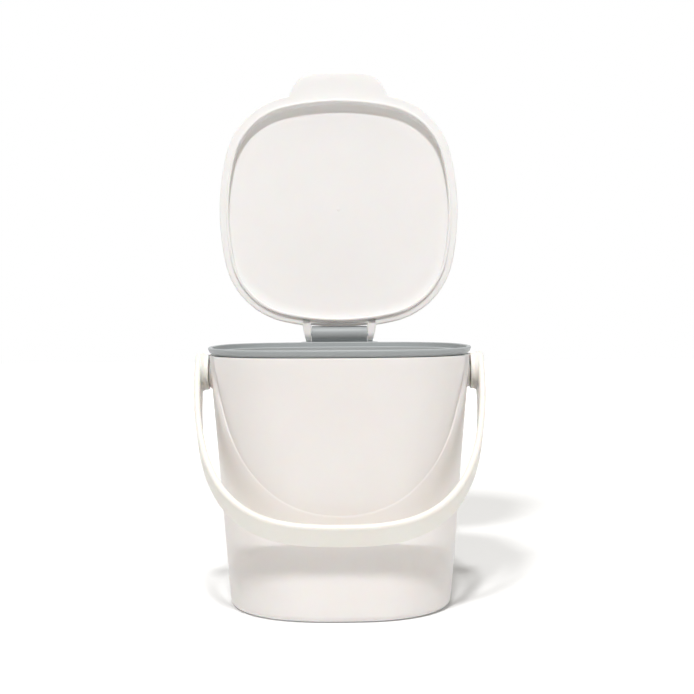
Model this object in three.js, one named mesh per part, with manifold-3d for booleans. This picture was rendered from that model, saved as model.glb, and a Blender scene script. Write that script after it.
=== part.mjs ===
// Countertop scraps bin: a tapered pail with a lift-off rim collar, a hinged lid and a swinging strap handle.
// Millimetres, +Z up, front towards -Y. The origin is the middle of the flat underside of the pail.
// The model stands as it is shown: lid leaning back on its stop, handle hanging against the front.

import * as THREE from 'three';
import { mergeVertices } from 'three/addons/utils/BufferGeometryUtils.js';
import Module from 'manifold-3d';

const wasm = await Module();
wasm.setup();

// Pail
const bodyHeight = 178.7;
const baseHalf = 79;
const rimHalf = 94.2;
const baseCorner = 64;
const rimCorner = 60;
const baseSideShare = 2.776;
const rimSideShare = 2.1;
const depthShare = 1.02;
const bodyWall = 2.6;
const floorThickness = 3.2;
const baseEdgeRadius = 5;
const cavityFillet = 14;
const rimEdgeRadius = 0.8;

// Ring groove in the underside of the pail
const grooveInnerHalf = 58;
const grooveOuterHalf = 68;
const grooveDepth = 1.2;
const grooveDraft = 1;

// Front panel, let into the pail inside a U-shaped edge
const panelRecess = 0.6;
const panelTopHalf = 88.5;
const panelBottomHeight = 73.1;
const panelSideShares = [0.904, 0.36];
const panelBottomShares = [0.565, 0];

// Handle pivots
const pivotDrop = 13.2;
const padRadius = 13;
const padProud = 1;
const socketDepth = 3.3;
const pivotRadius = 4.8;
const pivotClearance = 0.3;

// Handle
const handleStandoff = 8.5;
const handleReach = 143.8;
const handleRise = 33;
const strapThickness = 4.4;
const strapHalfWidth = 11.4;
const handleEndRadius = 14;
const strapTaperEnd = 62;
const bossRadius = 12.6;
const bossGap = 0.8;
const boreDepth = 5;
const handleSwellShare = 1.089;
const handleShoulderShare = 0.963;
const handleBottomShare = 0.518;
const gripRestGap = 0.45;

// Rim collar, measured from the outside of the pail's rim
const collarSeatGap = 0.4;
const collarBand = 5;
const collarProud = 0.8;
const collarFootSetback = 1.4;
const collarRim = 2.9;
const collarRebate = 3.8;
const collarSleeveFit = 0.5;
const collarSleeveWall = 2.4;
const collarSleeveDrop = 13;
const collarEdgeRadius = 1.4;

// Hinge
const hingeReach = 7.2;
const lidNotch = 3.1;
const knuckleRadius = 6.2;
const knuckleHalf = 22.2;
const earGap = 0.4;
const earRootHalf = 29.6;
const earWaistHalf = 28.1;
const earTipHalf = 25;
const earHeel = 5;
const earRoot = 4.6;
const earCrest = 7.6;
const hingeSeatGap = 0.3;
const hingePinRadius = 1.75;
const hingePinClearance = 0.3;
const hingePinInset = 2;
const shelfHalf = 31;
const shelfMargin = 0.6;
const shelfCorner = 5;
const webInset = 3;
const openAngle = THREE.MathUtils.degToRad(99);

// Lid
const lidOverhang = 2.4;
const lidEdge = 3;
const lidFlange = 5.4;
const lidSkirtDrop = 3;
const lidSkirtWall = 3;
const lidRecess = 7;
const lidSkin = 2.3;
const lidShoulder = 4.5;
const lidCrown = 2;
const lidShoulderPower = 6;
const lidShoulderEase = 0.6;
const panelFillet = 4;
const tabReach = 16;
const tabRootHalf = 40.3;
const tabWaistHalf = 36.5;
const tabCornerHalf = 32;
const tabFlatHalf = 14;
const tabFoot = 4.1;
const tabShoulder = 6;
const tabRoot = 3.4;

// One overrun for every cut and every joined root
const overrun = 2;

// Steps along the outlines
const sideSteps = 4;
const cornerSteps = 9;
const filletSteps = 5;
const edgeSteps = 4;
const roundSteps = 40;
const strapSteps = 28;

const white = { color: 0xf1eeea, roughness: 0.32, metalness: 0 };
const slate = { color: 0xa9aeb0, roughness: 0.35, metalness: 0 };
const steel = { color: 0xb9bcc0, roughness: 0.3, metalness: 1 };

// Places that follow from the sizes above
const pivotHeight = bodyHeight - pivotDrop;
const padFaceHalf = rimHalf + padProud;
const handleHalf = padFaceHalf + handleStandoff;
const collarFoot = bodyHeight + collarSeatGap;
const collarTop = collarFoot + collarBand;
const collarLedge = collarTop - collarRebate;
const lidHalfDepth = (rimHalf + lidOverhang) * depthShare;
const hingeY = lidHalfDepth - lidNotch + hingeReach;
const hingeZ = collarTop + hingeSeatGap + knuckleRadius;

// Square plan with bulging sides and round corners, as a loop of points anticlockwise from +X.
// Both arcs of a quarter share their tangent, so an inset keeps the three centres where they are.
// The whole plan is then drawn out a little from front to back.
function planLoop(half, corner, side, z) {
  const back = side - half;
  const reach = side - corner;
  const centre = (Math.sqrt(2 * reach * reach - back * back) - back) / 2;
  const turn = Math.atan2(centre, centre + back);
  const quarter = [];
  for (let i = 0; i < sideSteps; i++) {
    const a = turn * i / sideSteps;
    quarter.push([side * Math.cos(a) - back, side * Math.sin(a)]);
  }
  for (let i = 0; i < cornerSteps; i++) {
    const a = turn + (Math.PI / 2 - 2 * turn) * i / cornerSteps;
    quarter.push([centre + corner * Math.cos(a), centre + corner * Math.sin(a)]);
  }
  for (let i = 0; i < sideSteps; i++) {
    const a = Math.PI / 2 - turn * (sideSteps - i) / sideSteps;
    quarter.push([side * Math.cos(a), side * Math.sin(a) - back]);
  }
  const loop = [];
  for (const [x, y] of quarter) loop.push(new THREE.Vector3(x, y * depthShare, z));
  for (const [x, y] of quarter) loop.push(new THREE.Vector3(-y, x * depthShare, z));
  for (const [x, y] of quarter) loop.push(new THREE.Vector3(-x, -y * depthShare, z));
  for (const [x, y] of quarter) loop.push(new THREE.Vector3(y, -x * depthShare, z));
  return loop;
}

// Plan of the pail at a height, brought in by an inset.
function pailLoop(z, inset) {
  const share = z / bodyHeight;
  const half = THREE.MathUtils.lerp(baseHalf, rimHalf, share);
  const corner = THREE.MathUtils.lerp(baseCorner, rimCorner, share);
  const side = half * THREE.MathUtils.lerp(baseSideShare, rimSideShare, share);
  return planLoop(half - inset, corner - inset, side - inset, z);
}

// Plan of the pail's underside, brought in by an inset.
function baseLoop(z, inset) {
  return planLoop(baseHalf - inset, baseCorner - inset, baseSideShare * baseHalf - inset, z);
}

// Plan of the rim, brought in by an inset. The collar and the lid follow it.
function rimLoop(z, inset) {
  return planLoop(rimHalf - inset, rimCorner - inset, rimSideShare * rimHalf - inset, z);
}

// Plan of the rim brought in by an inset and then drawn towards its middle.
function scaledRimLoop(z, inset, share) {
  return rimLoop(z, inset).map((p) => new THREE.Vector3(p.x * share, p.y * share, z));
}

// Skin over a row of loops with the same number of points: closed by two end caps, or joined end to end.
function skin(loops, joined) {
  const count = loops[0].length;
  const positions = loops.flat().flatMap((p) => [p.x, p.y, p.z]);
  const index = [];
  const last = joined ? loops.length : loops.length - 1;
  for (let k = 0; k < last; k++) {
    const low = k * count;
    const high = (k + 1) % loops.length * count;
    for (let i = 0; i < count; i++) {
      const j = (i + 1) % count;
      index.push(low + i, low + j, high + j, low + i, high + j, high + i);
    }
  }
  if (!joined) {
    for (const [k, forward] of [[0, false], [loops.length - 1, true]]) {
      const middle = positions.length / 3;
      const centre = new THREE.Vector3();
      for (const p of loops[k]) centre.addScaledVector(p, 1 / count);
      positions.push(centre.x, centre.y, centre.z);
      for (let i = 0; i < count; i++) {
        const a = k * count + i;
        const b = k * count + (i + 1) % count;
        index.push(middle, forward ? a : b, forward ? b : a);
      }
    }
  }
  const geometry = new THREE.BufferGeometry();
  geometry.setAttribute('position', new THREE.Float32BufferAttribute(positions, 3));
  geometry.setIndex(index);
  return geometry;
}

// Solid for joining and cutting.
function solidOf(geometry) {
  const bare = geometry.clone();
  bare.deleteAttribute('normal');
  bare.deleteAttribute('uv');
  const merged = mergeVertices(bare);
  const vertProperties = new Float32Array(merged.attributes.position.array);
  const triVerts = new Uint32Array(merged.index.array);
  return new wasm.Manifold(new wasm.Mesh({ numProp: 3, vertProperties, triVerts }));
}

function geometryOf(solid) {
  const mesh = solid.getMesh();
  const geometry = new THREE.BufferGeometry();
  geometry.setAttribute('position', new THREE.BufferAttribute(mesh.vertProperties, 3));
  geometry.setIndex(new THREE.BufferAttribute(mesh.triVerts, 1));
  geometry.computeVertexNormals();
  return geometry;
}

// Round bar along X between two places, at a height and depth.
function barAlongX(radius, from, to, y, z) {
  const bar = new THREE.CylinderGeometry(radius, radius, to - from, roundSteps);
  bar.rotateZ(Math.PI / 2);
  bar.translate((from + to) / 2, y, z);
  return bar;
}

// Outline drawn in X and Y, raised from one height to another.
function plate(shape, from, to) {
  const geometry = new THREE.ExtrudeGeometry(shape, {
    depth: to - from, bevelEnabled: false, curveSegments: roundSteps / 4,
  });
  geometry.translate(0, 0, from);
  return geometry;
}

// Side outline drawn in Y and Z, run along X from one place to another.
function slab(shape, from, to) {
  const geometry = plate(shape, from, to);
  geometry.rotateX(Math.PI / 2);
  geometry.rotateZ(Math.PI / 2);
  return geometry;
}

// Front outline drawn in X and Z, run along Y from one place to another.
function curtain(shape, from, to) {
  const geometry = plate(shape, -to, -from);
  geometry.rotateX(Math.PI / 2);
  return geometry;
}

function pailOutside(inset, top) {
  const loops = [];
  for (let i = 0; i <= filletSteps; i++) {
    const a = Math.PI / 2 * i / filletSteps;
    const z = baseEdgeRadius * (1 - Math.cos(a));
    loops.push(pailLoop(z, inset + baseEdgeRadius * (1 - Math.sin(a))));
  }
  loops.push(pailLoop(bodyHeight / 2, inset));
  loops.push(pailLoop(top - rimEdgeRadius, inset));
  loops.push(pailLoop(top, inset + rimEdgeRadius / 2));
  return solidOf(skin(loops, false));
}

// Shallow groove round the underside, that leaves a flat middle and a foot ring.
function footGroove() {
  const inner = baseHalf - grooveInnerHalf;
  const outer = baseHalf - grooveOuterHalf;
  const section = [
    [-overrun, inner],
    [-overrun, outer],
    [0, outer],
    [grooveDepth, outer + grooveDraft],
    [grooveDepth, inner - grooveDraft],
    [0, inner],
  ];
  return solidOf(skin(section.map(([z, inset]) => baseLoop(z, inset)), true));
}

function pailCavity() {
  const loops = [];
  for (let i = 0; i <= filletSteps; i++) {
    const a = Math.PI / 2 * i / filletSteps;
    const z = floorThickness + cavityFillet * (1 - Math.cos(a));
    loops.push(pailLoop(z, bodyWall + cavityFillet * (1 - Math.sin(a))));
  }
  loops.push(pailLoop(bodyHeight / 2, bodyWall));
  loops.push(pailLoop(bodyHeight, bodyWall));
  loops.push(pailLoop(bodyHeight + overrun, bodyWall));
  return solidOf(skin(loops, false));
}

// U-shaped outline of the front panel, open above the rim.
function panelOutline() {
  const drop = bodyHeight - panelBottomHeight;
  const sideX = panelSideShares[0] * panelTopHalf;
  const sideZ = bodyHeight - (1 - panelSideShares[1]) * drop;
  const bottomX = panelBottomShares[0] * panelTopHalf;
  const shape = new THREE.Shape();
  shape.moveTo(-panelTopHalf, bodyHeight + overrun);
  shape.lineTo(-panelTopHalf, bodyHeight);
  shape.bezierCurveTo(-sideX, sideZ, -bottomX, panelBottomHeight, 0, panelBottomHeight);
  shape.bezierCurveTo(bottomX, panelBottomHeight, sideX, sideZ, panelTopHalf, bodyHeight);
  shape.lineTo(panelTopHalf, bodyHeight + overrun);
  shape.closePath();
  return shape;
}

function pail() {
  const panel = solidOf(curtain(panelOutline(), -rimHalf * depthShare - overrun, 0));
  const letIn = panel.subtract(pailOutside(panelRecess, bodyHeight + 2 * overrun));
  let body = pailOutside(0, bodyHeight).subtract(letIn);
  for (const side of [-1, 1]) {
    const inner = side * (padFaceHalf - 2 * padRadius);
    const outer = side * padFaceHalf;
    const pad = barAlongX(padRadius, Math.min(inner, outer), Math.max(inner, outer), 0, pivotHeight);
    body = body.add(solidOf(pad));
  }
  body = body.subtract(pailCavity()).subtract(footGroove());
  for (const side of [-1, 1]) {
    const floor = side * (padFaceHalf - socketDepth);
    const mouth = side * (padFaceHalf + overrun);
    const radius = pivotRadius + pivotClearance;
    const socket = barAlongX(radius, Math.min(floor, mouth), Math.max(floor, mouth), 0, pivotHeight);
    body = body.subtract(solidOf(socket));
  }
  return geometryOf(body);
}

function collarBandAndSleeve() {
  const sleeveOut = bodyWall + collarSleeveFit;
  const sleeveIn = sleeveOut + collarSleeveWall;
  const sleeveFoot = collarFoot - collarSleeveDrop;
  const round = collarEdgeRadius;
  const rounded = round * (1 - Math.cos(Math.PI / 4));
  const throat = collarRim - collarProud;
  const loops = [
    rimLoop(collarFoot, collarFootSetback),
    rimLoop(collarFoot + round, (collarFootSetback - collarProud) / 2),
    rimLoop(collarTop - round, -collarProud),
    rimLoop(collarTop - rounded, rounded - collarProud),
    rimLoop(collarTop, round - collarProud),
    rimLoop(collarTop, throat - round / 2),
    rimLoop(collarTop - round / 2, throat),
    rimLoop(collarLedge, throat),
    rimLoop(collarLedge, sleeveIn - round / 2),
    rimLoop(collarLedge - round / 2, sleeveIn),
    pailLoop(sleeveFoot, sleeveIn),
    pailLoop(sleeveFoot, sleeveOut),
    pailLoop(collarFoot, sleeveOut),
  ];
  return solidOf(skin(loops, true));
}

// Shelf behind the collar that carries the hinge, with rounded outer corners.
// Its near side follows the rim and ends inside the collar's band.
function hingeShelf() {
  const near = rimHalf - shelfHalf;
  const far = hingeY + knuckleRadius + shelfMargin;
  const shape = new THREE.Shape();
  shape.moveTo(-shelfHalf, near);
  shape.lineTo(shelfHalf, near);
  shape.lineTo(shelfHalf, far - shelfCorner);
  shape.absarc(shelfHalf - shelfCorner, far - shelfCorner, shelfCorner, 0, Math.PI / 2, false);
  shape.absarc(shelfCorner - shelfHalf, far - shelfCorner, shelfCorner, Math.PI / 2, Math.PI, false);
  shape.closePath();
  const lowInset = collarFootSetback + shelfMargin;
  const highInset = collarRim - collarProud - collarEdgeRadius / 2 - shelfMargin;
  const throat = skin([
    rimLoop(collarFoot - overrun, lowInset),
    rimLoop(collarFoot, lowInset),
    rimLoop(collarTop, highInset),
    rimLoop(collarTop + overrun, highInset),
  ], false);
  return solidOf(plate(shape, collarFoot, collarTop)).subtract(solidOf(throat));
}

// Web between the shelf and the knuckle, set back under the knuckle's front.
function hingeWeb() {
  const shape = new THREE.Shape();
  shape.moveTo(hingeY - knuckleRadius + webInset, collarTop - overrun);
  shape.lineTo(hingeY + knuckleRadius, collarTop - overrun);
  shape.lineTo(hingeY + knuckleRadius, hingeZ);
  shape.lineTo(hingeY - knuckleRadius + webInset, hingeZ);
  shape.closePath();
  return solidOf(slab(shape, -knuckleHalf, knuckleHalf));
}

function collar() {
  const bore = hingePinRadius + hingePinClearance;
  let body = collarBandAndSleeve().add(hingeShelf()).add(hingeWeb());
  body = body.add(solidOf(barAlongX(knuckleRadius, -knuckleHalf, knuckleHalf, hingeY, hingeZ)));
  body = body.subtract(solidOf(barAlongX(bore, -knuckleHalf - overrun, knuckleHalf + overrun, hingeY, hingeZ)));
  return geometryOf(body);
}

function hingePin() {
  const half = earWaistHalf - hingePinInset;
  return geometryOf(solidOf(barAlongX(hingePinRadius, -half, half, 0, 0)));
}

// The lid is drawn closed, with the hinge axis at the origin.
const lidUnderside = -knuckleRadius;
const lidMiddle = -hingeY;

// Height of the lid's outside above its edge, by the share of the way from the middle to the edge.
function lidRise(share) {
  const shoulder = Math.pow(1 - Math.pow(share, lidShoulderPower), lidShoulderEase);
  return lidShoulder * shoulder + lidCrown * (1 - share * share);
}

function lidShell() {
  const edgeTop = lidUnderside + lidEdge;
  const round = lidEdge / 2;
  const skirtOut = lidFlange - lidOverhang;
  const skirtIn = skirtOut + lidSkirtWall;
  const skirtFoot = lidUnderside - lidSkirtDrop;
  const panelEdge = skirtFoot + lidRecess;
  const lipRound = lidSkirtWall / 4;
  const domeShares = [0.99, 0.965, 0.93, 0.87, 0.78, 0.65, 0.45, 0.22];
  const panelShares = [0.22, 0.45, 0.65, 0.82];
  const loops = [];
  for (const share of panelShares) {
    const z = edgeTop + lidRise(share) - lidSkin;
    loops.push(scaledRimLoop(Math.max(z, panelEdge), -lidOverhang, share));
  }
  loops.push(rimLoop(panelEdge, skirtIn + panelFillet));
  loops.push(rimLoop(panelEdge - panelFillet * (1 - Math.cos(Math.PI / 4)),
    skirtIn + panelFillet * (1 - Math.sin(Math.PI / 4))));
  loops.push(rimLoop(panelEdge - panelFillet, skirtIn));
  loops.push(rimLoop(skirtFoot + lipRound, skirtIn));
  loops.push(rimLoop(skirtFoot, skirtIn - lipRound));
  loops.push(rimLoop(skirtFoot, skirtOut + lipRound));
  loops.push(rimLoop(skirtFoot + lipRound, skirtOut));
  loops.push(rimLoop(lidUnderside, skirtOut));
  for (let i = 0; i <= edgeSteps; i++) {
    const a = Math.PI * (i / edgeSteps - 1 / 2);
    loops.push(rimLoop(edgeTop - round + round * Math.sin(a), round * (1 - Math.cos(a)) - lidOverhang));
  }
  for (const share of domeShares) {
    loops.push(scaledRimLoop(edgeTop + lidRise(share), -lidOverhang, share));
  }
  const geometry = skin(loops, false);
  geometry.translate(0, lidMiddle, 0);
  return solidOf(geometry);
}

// Thumb tab at the front edge, as thick as the edge.
function lidTab() {
  const front = lidMiddle - lidHalfDepth;
  const tip = front - tabReach;
  const foot = front + tabFoot;
  const shoulder = front - tabShoulder;
  const shape = new THREE.Shape();
  shape.moveTo(-tabRootHalf, foot + tabRoot);
  shape.lineTo(-tabRootHalf, foot);
  shape.bezierCurveTo(-tabWaistHalf, shoulder, -tabCornerHalf, tip, -tabFlatHalf, tip);
  shape.lineTo(tabFlatHalf, tip);
  shape.bezierCurveTo(tabCornerHalf, tip, tabWaistHalf, shoulder, tabRootHalf, foot);
  shape.lineTo(tabRootHalf, foot + tabRoot);
  shape.closePath();
  return solidOf(plate(shape, lidUnderside, lidUnderside + lidEdge));
}

// Ear seen from the side: round under the pin, with a flat heel that stops the open lid on the shelf.
function earSide() {
  const stop = openAngle - Math.PI / 2;
  const heelX = knuckleRadius * Math.cos(stop) - earHeel * Math.sin(stop);
  const heelZ = knuckleRadius * Math.sin(stop) + earHeel * Math.cos(stop);
  const shape = new THREE.Shape();
  shape.moveTo(-hingeReach - earRoot, lidUnderside);
  shape.lineTo(0, lidUnderside);
  shape.absarc(0, 0, knuckleRadius, -Math.PI / 2, stop, false);
  shape.lineTo(heelX, heelZ);
  shape.lineTo(-hingeReach, lidUnderside + earCrest);
  shape.lineTo(-hingeReach - earRoot, lidUnderside + lidEdge);
  shape.closePath();
  return shape;
}

// Ear seen from above: it narrows from the lid's edge to its tip.
function earPlan(side) {
  const near = side * (knuckleHalf + earGap);
  const shape = new THREE.Shape();
  shape.moveTo(near, -hingeReach - earRoot - overrun);
  shape.lineTo(side * earRootHalf, -hingeReach - earRoot - overrun);
  shape.lineTo(side * earRootHalf, -hingeReach);
  shape.quadraticCurveTo(side * earWaistHalf, 0, side * earTipHalf, knuckleRadius);
  shape.lineTo(side * earTipHalf, knuckleRadius + overrun);
  shape.lineTo(near, knuckleRadius + overrun);
  shape.closePath();
  return shape;
}

function lidEar(side) {
  const outline = slab(earSide(), -earRootHalf - overrun, earRootHalf + overrun);
  const plan = plate(earPlan(side), lidUnderside - overrun, lidUnderside + 2 * knuckleRadius + overrun);
  return solidOf(outline).intersect(solidOf(plan));
}

// Straight cut across the lid's rear edge, that leaves room for the knuckle.
function knuckleNotch() {
  const half = knuckleHalf + earGap;
  const shape = new THREE.Shape();
  shape.moveTo(-half, -hingeReach);
  shape.lineTo(half, -hingeReach);
  shape.lineTo(half, knuckleRadius);
  shape.lineTo(-half, knuckleRadius);
  shape.closePath();
  return solidOf(plate(shape, lidUnderside - overrun, -lidUnderside));
}

function lid() {
  const bore = hingePinRadius + hingePinClearance;
  let body = lidShell().subtract(knuckleNotch());
  body = body.add(lidTab()).add(lidEar(-1)).add(lidEar(1));
  body = body.subtract(solidOf(barAlongX(bore, -earRootHalf - overrun, earRootHalf + overrun, 0, 0)));
  return geometryOf(body);
}

// Half of the handle's outside curve in X and -Z, from above the pivot to the middle of the grip.
function handleCurve() {
  const reach = handleReach + handleRise;
  return new THREE.CubicBezierCurve(
    new THREE.Vector2(handleHalf, handleRise),
    new THREE.Vector2(handleSwellShare * handleHalf, handleRise - handleShoulderShare * reach),
    new THREE.Vector2(handleBottomShare * handleHalf, -handleReach),
    new THREE.Vector2(0, -handleReach),
  );
}

// Turn that brings the grip's inner edge to rest on the pail's sloping front, less the rest gap.
function hangAngle() {
  const slope = (rimHalf - baseHalf) * depthShare / bodyHeight;
  const front = baseHalf * depthShare + slope * pivotHeight + gripRestGap;
  const arm = handleReach - strapThickness;
  const along = strapHalfWidth - slope * arm;
  const across = arm + slope * strapHalfWidth;
  return Math.acos(-front / Math.hypot(along, across)) - Math.atan2(across, along);
}

// Loop of the strap: the outside curve and the same curve brought in by the strap's thickness.
function strapOutline() {
  const curve = handleCurve();
  const outside = [];
  const inside = [];
  for (let i = 0; i <= strapSteps; i++) {
    const p = curve.getPointAt(i / strapSteps);
    const t = curve.getTangentAt(i / strapSteps);
    outside.push(p);
    inside.push(new THREE.Vector2(p.x + t.y * strapThickness, p.y - t.x * strapThickness));
  }
  const mirrored = (row) => row.slice(0, -1).reverse().map((p) => new THREE.Vector2(-p.x, p.y));
  const shape = new THREE.Shape([
    ...outside, ...mirrored(outside),
    ...[...inside, ...mirrored(inside)].reverse(),
  ]);
  return shape;
}

// Strap seen from the side: round at the pivot, narrowing to the grip's width.
function strapSide() {
  const end = handleReach + overrun;
  const shape = new THREE.Shape();
  shape.moveTo(-strapHalfWidth, -end);
  shape.lineTo(strapHalfWidth, -end);
  shape.lineTo(strapHalfWidth, -strapTaperEnd);
  shape.bezierCurveTo(strapHalfWidth, -strapTaperEnd / 2, handleEndRadius, -strapTaperEnd / 2, handleEndRadius, 0);
  shape.absarc(0, 0, handleEndRadius, 0, Math.PI, false);
  shape.bezierCurveTo(-handleEndRadius, -strapTaperEnd / 2, -strapHalfWidth, -strapTaperEnd / 2,
    -strapHalfWidth, -strapTaperEnd);
  shape.closePath();
  return shape;
}

function handle() {
  const loop = solidOf(curtain(strapOutline(), -handleEndRadius - overrun, handleEndRadius + overrun));
  const side = solidOf(slab(strapSide(), -handleHalf - overrun, handleHalf + overrun));
  let body = loop.intersect(side);
  const face = padFaceHalf + bossGap;
  const bossEnd = handleHalf - strapThickness / 2;
  const bore = pivotRadius + pivotClearance;
  for (const way of [-1, 1]) {
    const boss = barAlongX(bossRadius, Math.min(way * face, way * bossEnd), Math.max(way * face, way * bossEnd), 0, 0);
    body = body.add(solidOf(boss));
  }
  for (const way of [-1, 1]) {
    const mouth = way * (face - overrun);
    const floor = way * (face + boreDepth);
    body = body.subtract(solidOf(barAlongX(bore, Math.min(mouth, floor), Math.max(mouth, floor), 0, 0)));
  }
  return geometryOf(body);
}

// Stub between a blind bore in the boss and the blind socket in the pad.
function handlePivot(way) {
  const inner = padFaceHalf - socketDepth + pivotClearance;
  const outer = padFaceHalf + bossGap + boreDepth - pivotClearance;
  return geometryOf(solidOf(barAlongX(pivotRadius, Math.min(way * inner, way * outer),
    Math.max(way * inner, way * outer), 0, 0)));
}

function named(name, geometry, finish) {
  const mesh = new THREE.Mesh(geometry, new THREE.MeshStandardMaterial(finish));
  mesh.name = name;
  return mesh;
}

const bin = new THREE.Group();
bin.add(named('bin_body', pail(), white));
bin.add(named('rim_collar', collar(), slate));

const hinge = new THREE.Group();
hinge.position.set(0, hingeY, hingeZ);
hinge.add(named('hinge_pin', hingePin(), steel));
bin.add(hinge);

const openLid = new THREE.Group();
openLid.rotation.x = -openAngle;
openLid.add(named('lid', lid(), white));
hinge.add(openLid);

const hangingHandle = new THREE.Group();
hangingHandle.position.set(0, 0, pivotHeight);
hangingHandle.rotation.x = -hangAngle();
hangingHandle.add(named('handle', handle(), white));
hangingHandle.add(named('handle_pivot_left', handlePivot(-1), white));
hangingHandle.add(named('handle_pivot_right', handlePivot(1), white));
bin.add(hangingHandle);

export default bin;
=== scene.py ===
import math

import bmesh
import bpy
import numpy as np
from mathutils import Matrix, Vector
from mathutils.geometry import delaunay_2d_cdt


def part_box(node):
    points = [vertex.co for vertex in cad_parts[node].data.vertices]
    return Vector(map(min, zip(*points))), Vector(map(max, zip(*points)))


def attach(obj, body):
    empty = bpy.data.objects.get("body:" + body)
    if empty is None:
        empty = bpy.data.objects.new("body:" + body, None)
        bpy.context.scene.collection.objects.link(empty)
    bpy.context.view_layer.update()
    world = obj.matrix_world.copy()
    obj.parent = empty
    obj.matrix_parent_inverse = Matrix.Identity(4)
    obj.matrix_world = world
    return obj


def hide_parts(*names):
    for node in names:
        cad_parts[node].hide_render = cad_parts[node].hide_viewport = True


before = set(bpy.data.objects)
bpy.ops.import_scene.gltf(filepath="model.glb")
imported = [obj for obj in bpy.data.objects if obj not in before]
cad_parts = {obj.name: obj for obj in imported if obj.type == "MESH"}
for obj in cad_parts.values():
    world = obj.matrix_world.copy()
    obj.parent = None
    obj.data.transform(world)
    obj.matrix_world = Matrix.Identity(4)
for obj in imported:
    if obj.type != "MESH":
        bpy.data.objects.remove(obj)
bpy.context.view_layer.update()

# Pail: one white polypropylene moulding, tapered so that it leaves its mould. Its front panel is let in
# along a soft U-shaped edge, and a raised round pad on each side has a blind socket for the handle.
# Lengths are in millimetres until a mesh is made.
MM = 0.001
PAIL_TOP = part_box("bin_body")[1].z / MM
PAIL_BASE_HALF = 79.0
PAIL_RIM_HALF = 94.2
PAIL_BASE_CORNER = 64.0
PAIL_RIM_CORNER = 60.0
BASE_SIDE_SHARE = 2.776
RIM_SIDE_SHARE = 2.1
PLAN_ARC_SHARE = 0.22
PLAN_DEPTH_SHARE = 1.02
PAIL_WALL = 2.6
PAIL_FLOOR = 3.2
PAIL_FLOOR_FILLET = 14.0
PAIL_BASE_ROUND = 5.0
PAIL_RIM_ROUND = 0.5
GROOVE_INNER_HALF = 58.0
GROOVE_OUTER_HALF = 68.0
GROOVE_DEPTH = 1.2
GROOVE_DRAFT = 1.0
PANEL_EDGE = ((0.0, 73.1), (50.0, 73.1), (80.0, 111.1), (91.0, PAIL_TOP))
VALLEY_DEPTH = 3.2
VALLEY_LEAST = 0.4
VALLEY_FOOT = 104.0
VALLEY_FULL = 178.0
VALLEY_IN = 21.0
VALLEY_IN_POWER = 2.6
VALLEY_OUT = 8.5
VALLEY_OUT_POWER = 1.4
VALLEY_SPARE = 1.0
LIP_HEIGHT = 0.4
LIP_WIDTH = 0.7
LIP_FULL_VALLEY = 1.0
PAD_SHY_OF_BOX = 1.2
PAD_BELOW_RIM = 13.2
PAD_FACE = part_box("bin_body")[1].x / MM - PAD_SHY_OF_BOX
PAD_HEIGHT = PAIL_TOP - PAD_BELOW_RIM
PAD_INNER_RADIUS = 11.6
PAD_OUTER_RADIUS = 12.65
SOCKET_RADIUS = 5.1
SOCKET_DEPTH = 3.3
PAIL_WHITE = "f3f0ef"
PAIL_WHITE_DEEP = "efebe9"
PAIL_ROUGHNESS = 0.33

# What every plastic piece here shares. The real grain of the mould is finer than a tenth of a millimetre,
# so it is drawn this coarse to show.
POLYPROPYLENE_IOR = 1.49
FLOW_SPACING = 45.0
FLOW_DETAIL = 3.0
GLOSS_BELOW = 0.03
GLOSS_ABOVE = 0.05
GRAIN_SPACING = 0.9
GRAIN_DEPTH = 0.02
GRAIN_STRENGTH = 0.35
MILK_WEIGHT = 0.3
MILK_DEPTH = 1.6
MILK_COLOURS = (1.0, 0.6, 0.38)

# Sockets of a Mix node that mixes colours. They go by number, because their names repeat.
COLOUR_A = 6
COLOUR_B = 7
COLOUR_RESULT = 2

HALVINGS = 32
TURNED_STEPS = 72
WELD = 0.004
SHARP_ANGLE = 38


def linear(code):
    """sRGB hex to a linear colour."""
    channels = [int(code[i:i + 2], 16) / 255 for i in (0, 2, 4)]
    return [c / 12.92 if c <= 0.04045 else ((c + 0.055) / 1.055) ** 2.4 for c in channels] + [1.0]


def add_node(material, kind, settings, links=()):
    """One shader node, with its own settings, its socket values and what feeds its sockets."""
    node = material.node_tree.nodes.new(kind)
    for key, value in settings.items():
        if isinstance(key, str) and hasattr(node, key):
            setattr(node, key, value)
        else:
            node.inputs[key].default_value = value
    for socket, source in links:
        material.node_tree.links.new(source, node.inputs[socket])
    return node


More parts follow.
